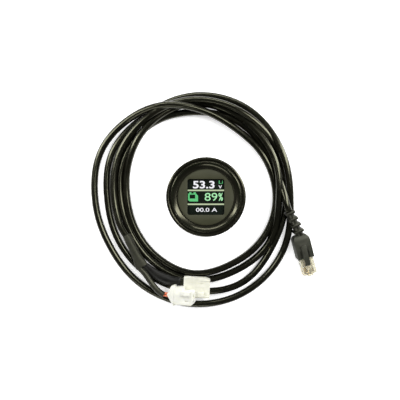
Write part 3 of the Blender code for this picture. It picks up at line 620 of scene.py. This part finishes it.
# the ring's section, as (radius, height): rim, groove, ridge, hollow slope, then back underneath
rim = [(30.0, 37.2), (30.0, 43.0), (29.93, 43.4), (29.7, 43.7), (29.35, 43.88), (28.9, 43.95),
       (28.3, 43.95), (27.9, 43.8), (27.7, 43.3), (27.45, 42.6), (27.0, 42.6), (26.8, 43.2),
       (26.65, 43.65), (26.4, 43.85), (26.1, 43.92), (25.75, 43.88), (25.5, 43.6), (25.25, 43.1),
       (24.95, 42.68), (24.5, 42.3), (24.0, 42.02), (23.5, 41.78), (23.0, 41.57), (22.5, 41.42),
       (22.0, 41.36), (21.5, 41.44), (21.3, 41.4), (21.3, 41.05),
       (23.6, 41.05), (23.6, 39.9), (28.9, 39.9), (28.9, 37.2)]
polished = finish("polished_black", [(0.003, 0.003, 0.002), (0.006, 0.006, 0.004)], (0.18, 0.24), bump=0.05,
                  grain=1800.0, cloud=120.0, **{"Specular Tint": (1.0, 0.98, 0.68, 1.0)})
bezel = turned("bezel", rim, rounding=0)
carve(bezel, block("mould_seam", (0.14, 3.4, 0.5), (0.4, -23.4, 42.05)))
seat(bezel, "gauge", "bezel_black", polished, "bezel_ring")

# ----- Face plate and display
# A matt olive plate frames the square window. Behind a clear pane lies the liquid crystal panel, whose
# picture shows the voltage, a battery, the charge left and the current, between two pale rules.
plate_finish = finish("matt_plate", [(0.026, 0.027, 0.011), (0.034, 0.035, 0.016)], (0.50, 0.60), bump=0.2,
                      grain=2600.0, cloud=60.0, **{"Specular IOR Level": 0.3})
plate_middle = 40.4
bpy.ops.object.select_all(action="DESELECT")
bpy.ops.mesh.primitive_cylinder_add(vertices=160, radius=23.2 * mm, depth=1.0 * mm)
plate = settle(bpy.context.object, Matrix.Translation((0, 0, plate_middle * mm)))
plate.name = "window_plate"
opening = block("window_opening", (28.0, 27.2, 6.0), (0, 0, plate_middle))
round_uprights(opening, 1.6, 8)
carve(plate, opening)
soften(plate, 0.12, angle=60)
seat(plate, "gauge", "face_olive", plate_finish, "face_plate")

pane = finish("clear_acrylic", [(0.010, 0.014, 0.010), (0.020, 0.026, 0.020)], (0.03, 0.06), Alpha=0.05)
dress(frame["nodes"]["window_pane"], pane)
panel = finish("liquid_crystal", [(0.003, 0.005, 0.003), (0.006, 0.009, 0.006)], (0.12, 0.2), cloud=80.0,
               **{"Specular IOR Level": 0.3})
dress(frame["nodes"]["display_glass"], panel)


def lit(name, colour, strength=1.0):
    """A lit colour of the display, a little uneven from the backlight."""
    material = bpy.data.materials.new(name)
    material.use_nodes = True
    material.node_tree.nodes.clear()
    start = Link(material.node_tree)
    place = start.node("ShaderNodeTexCoord", output="Object")
    patch = start.node("ShaderNodeTexNoise", {"Vector": place, "Scale": 500.0}, output="Fac")
    dim = [0.88 * shade for shade in colour]
    glow = start.node("ShaderNodeValToRGB", {"Fac": patch}, stops=[(0.3, dim), (0.7, colour)])
    shader = start.node("ShaderNodeBsdfPrincipled", {
        "Base Color": (0.02, 0.02, 0.02, 1.0), "Roughness": 0.4, "Emission Color": glow,
        "Emission Strength": strength})
    start.node("ShaderNodeOutputMaterial", {"Surface": shader})
    return material


white_light = lit("lit_white", (0.95, 0.95, 1.0), 1.1)
green_light = lit("lit_green", (0.10, 0.62, 0.20))
pale_light = lit("lit_pale_green", (0.45, 1.0, 0.50))
rule_light = lit("lit_rule", (0.55, 0.66, 0.40))
# the height of the lit picture, just above the liquid crystal panel
picture = 38.36


def reading(name, words, low, high, light, weight=0.0):
    """Flat lit figures that fill the space between two corners, given in mm on the display."""
    bpy.ops.object.select_all(action="DESELECT")
    bpy.ops.object.text_add()
    made = bpy.context.object
    made.name = name
    made.data.body = words
    made.data.offset = weight
    made.data.extrude = 0.01
    bpy.ops.object.convert(target="MESH")
    xs = [vertex.co.x for vertex in made.data.vertices]
    ys = [vertex.co.y for vertex in made.data.vertices]
    wide = (high[0] - low[0]) / (max(xs) - min(xs))
    tall = (high[1] - low[1]) / (max(ys) - min(ys))
    settle(made, moved(*low, picture) @ Matrix.Diagonal((wide * mm, tall * mm, mm, 1.0))
           @ Matrix.Translation((-min(xs), -min(ys), 0)))
    seat(made, "gauge", "display_glass", light)


reading("volts_figures", "53.3", (-9.9, 6.5), (6.6, 12.3), white_light, 0.022)
reading("chemistry_mark", "Li", (9.9, 10.2), (12.9, 12.6), green_light)
reading("volts_mark", "V", (9.6, 6.5), (12.3, 8.9), white_light, 0.02)
reading("charge_figures", "89", (-0.9, -2.9), (8.7, 3.1), pale_light)
reading("charge_mark", "%", (9.6, -2.9), (13.0, 3.1), pale_light, 0.02)
reading("current_figures", "00.0 A", (-7.6, -11.3), (8.6, -8.3), white_light, 0.01)
for name, low_edge in (("upper_rule", 4.5), ("lower_rule", -6.1)):
    rule = block(name, (27.8, 1.1, 0.02), (0, low_edge + 0.55, picture), 0.005, 1)
    seat(rule, "gauge", "display_glass", rule_light)

icon = block("battery_icon", (7.6, 6.0, 0.04), (-9.8, -0.4, picture))
for across in (-11.9, -8.6):
    carve(icon, block("terminal", (1.7, 1.4, 0.04), (across, 2.9, picture)), operation="UNION")
carve(icon, block("icon_panel", (4.2, 3.0, 1.0), (-10.3, 0.3, picture), 0.1))
corner = settle(block("icon_corner", (2.4, 2.4, 1.0), (0, 0, 0)), moved(-5.9, 2.6, picture) @ swung(45))
heel = settle(block("icon_heel", (1.6, 1.6, 1.0), (0, 0, 0)), moved(-13.6, -3.4, picture) @ swung(45))
carve(icon, corner, heel)
seat(icon, "gauge", "display_glass", green_light)

# ----- Barrel, thread and gasket
# The housing's barrel is black moulding with a 2 mm right-hand thread for the ring nut, and a rubber
# gasket lies under its flange, against the panel.
moulded = finish("satin_moulding", [(0.008, 0.008, 0.007), (0.015, 0.015, 0.013)], (0.40, 0.52), bump=0.35,
                 grain=1600.0, cloud=140.0)
thread_pitch = 2.0
thread_turns = 14
thread_start = (25.68, 0, 5.4)
bpy.ops.object.select_all(action="DESELECT")
bpy.ops.mesh.primitive_circle_add(vertices=3, radius=0.7 * mm, fill_type="NGON")
thread = bpy.context.object
thread.name = "barrel_thread"
bpy.ops.object.mode_set(mode="EDIT")
bpy.ops.transform.resize(value=(1.0, 0.35, 1.0))
bpy.ops.object.mode_set(mode="OBJECT")
settle(thread, moved(*thread_start) @ swung(90, "X") @ swung(-90))
bpy.ops.object.mode_set(mode="EDIT")
bpy.ops.mesh.select_all(action="SELECT")
bpy.ops.mesh.delete(type="ONLY_FACE")
bpy.ops.object.mode_set(mode="OBJECT")
winding = thread.modifiers.new("winding", "SCREW")
winding.steps = 72
winding.render_steps = 72
winding.screw_offset = thread_pitch * mm
winding.iterations = thread_turns
bpy.ops.object.modifier_apply(modifier=winding.name)
bpy.ops.object.mode_set(mode="EDIT")
bpy.ops.mesh.select_all(action="SELECT")
bpy.ops.mesh.fill_holes(sides=3)
bpy.ops.mesh.normals_make_consistent(inside=False)
bpy.ops.object.mode_set(mode="OBJECT")
bpy.ops.object.shade_smooth_by_angle(angle=math.radians(30))
seat(thread, "gauge", "body_black", moulded)
rubber = finish("gasket_rubber", [(0.012, 0.012, 0.012), (0.022, 0.022, 0.022)], (0.6, 0.75), bump=0.4,
                grain=2200.0)
gasket = turned("gasket", [(26.0, 35.2), (29.4, 35.2), (29.4, 36.7), (26.0, 36.7)], 0.3)
seat(gasket, "gauge", "seal_rubber", rubber, "panel_gasket")

# ----- Clamp washer and ring nut
# A zinc-plated washer bears on the back of the panel, and a moulded nut with finger grips drives it up
# the barrel's thread.
zinc = finish("zinc_plate", [(0.42, 0.43, 0.44), (0.56, 0.57, 0.58)], (0.24, 0.38), bump=0.15, grain=1500.0,
              cloud=260.0, Metallic=1.0)
washer = turned("panel_washer", [(26.1, 24.5), (29.6, 24.5), (29.6, 26.0), (26.1, 26.0)], 0.2)
seat(washer, "clamp", "steel", zinc, "clamp_washer")
nut_section = [(26.1, 15.5), (29.2, 15.5), (29.6, 16.0), (29.6, 23.7), (29.2, 24.2), (26.1, 24.2)]
nut = turned("finger_nut", nut_section, 0.2)
# hollows between the finger grips: their number, and the radius and height of their middles
grips = 12
grip_reach = 30.8 * mm
grip_height = 19.8 * mm
for i in range(grips):
    angle = 2 * math.pi * (i + 0.5) / grips
    spot = (grip_reach * math.cos(angle), grip_reach * math.sin(angle), grip_height)
    bpy.ops.object.select_all(action="DESELECT")
    bpy.ops.mesh.primitive_cylinder_add(vertices=40, radius=2.5 * mm, depth=12 * mm)
    carve(nut, settle(bpy.context.object, Matrix.Translation(spot)))
soften(nut, 0.2, angle=50)
seat(nut, "nut", "body_black", moulded, "ring_nut")

# ----- Inside and behind
# The housing itself and the pieces that it hides keep their plain shapes, dressed by what they are made
# of: board, chips, capacitor, reflector, ribbon, seals, sockets, pins and screws.
reflector = finish("white_reflector", [(0.76, 0.76, 0.72), (0.84, 0.84, 0.80)], (0.45, 0.55), bump=0.2)
film = finish("amber_film", [(0.45, 0.16, 0.03), (0.58, 0.24, 0.06)], (0.25, 0.35))
mask = finish("solder_mask", [(0.008, 0.10, 0.035), (0.015, 0.16, 0.06)], (0.25, 0.4), bump=0.3,
              grain=900.0)
epoxy = finish("moulded_epoxy", [(0.014, 0.014, 0.014), (0.026, 0.026, 0.026)], (0.5, 0.62), bump=0.4)
can = finish("aluminium_can", [(0.60, 0.60, 0.62), (0.72, 0.72, 0.74)], (0.2, 0.32), Metallic=1.0)
inner = {"body_black": moulded, "seal_rubber": rubber, "steel": zinc, "gold_contact": gold,
         "cable_black": jacket, "white_frame": reflector, "flex_film": film, "board": mask,
         "chip_black": epoxy, "tinned": can}
# these three have their materials already
done = {"plug_contacts", "window_pane", "display_glass"}
for entry in frame["record"]["subparts"]:
    node = frame["nodes"][entry["node"]]
    if node.name not in done and entry["material_slot"] in inner and not node.hide_render:
        dress(node, inner[entry["material_slot"]])
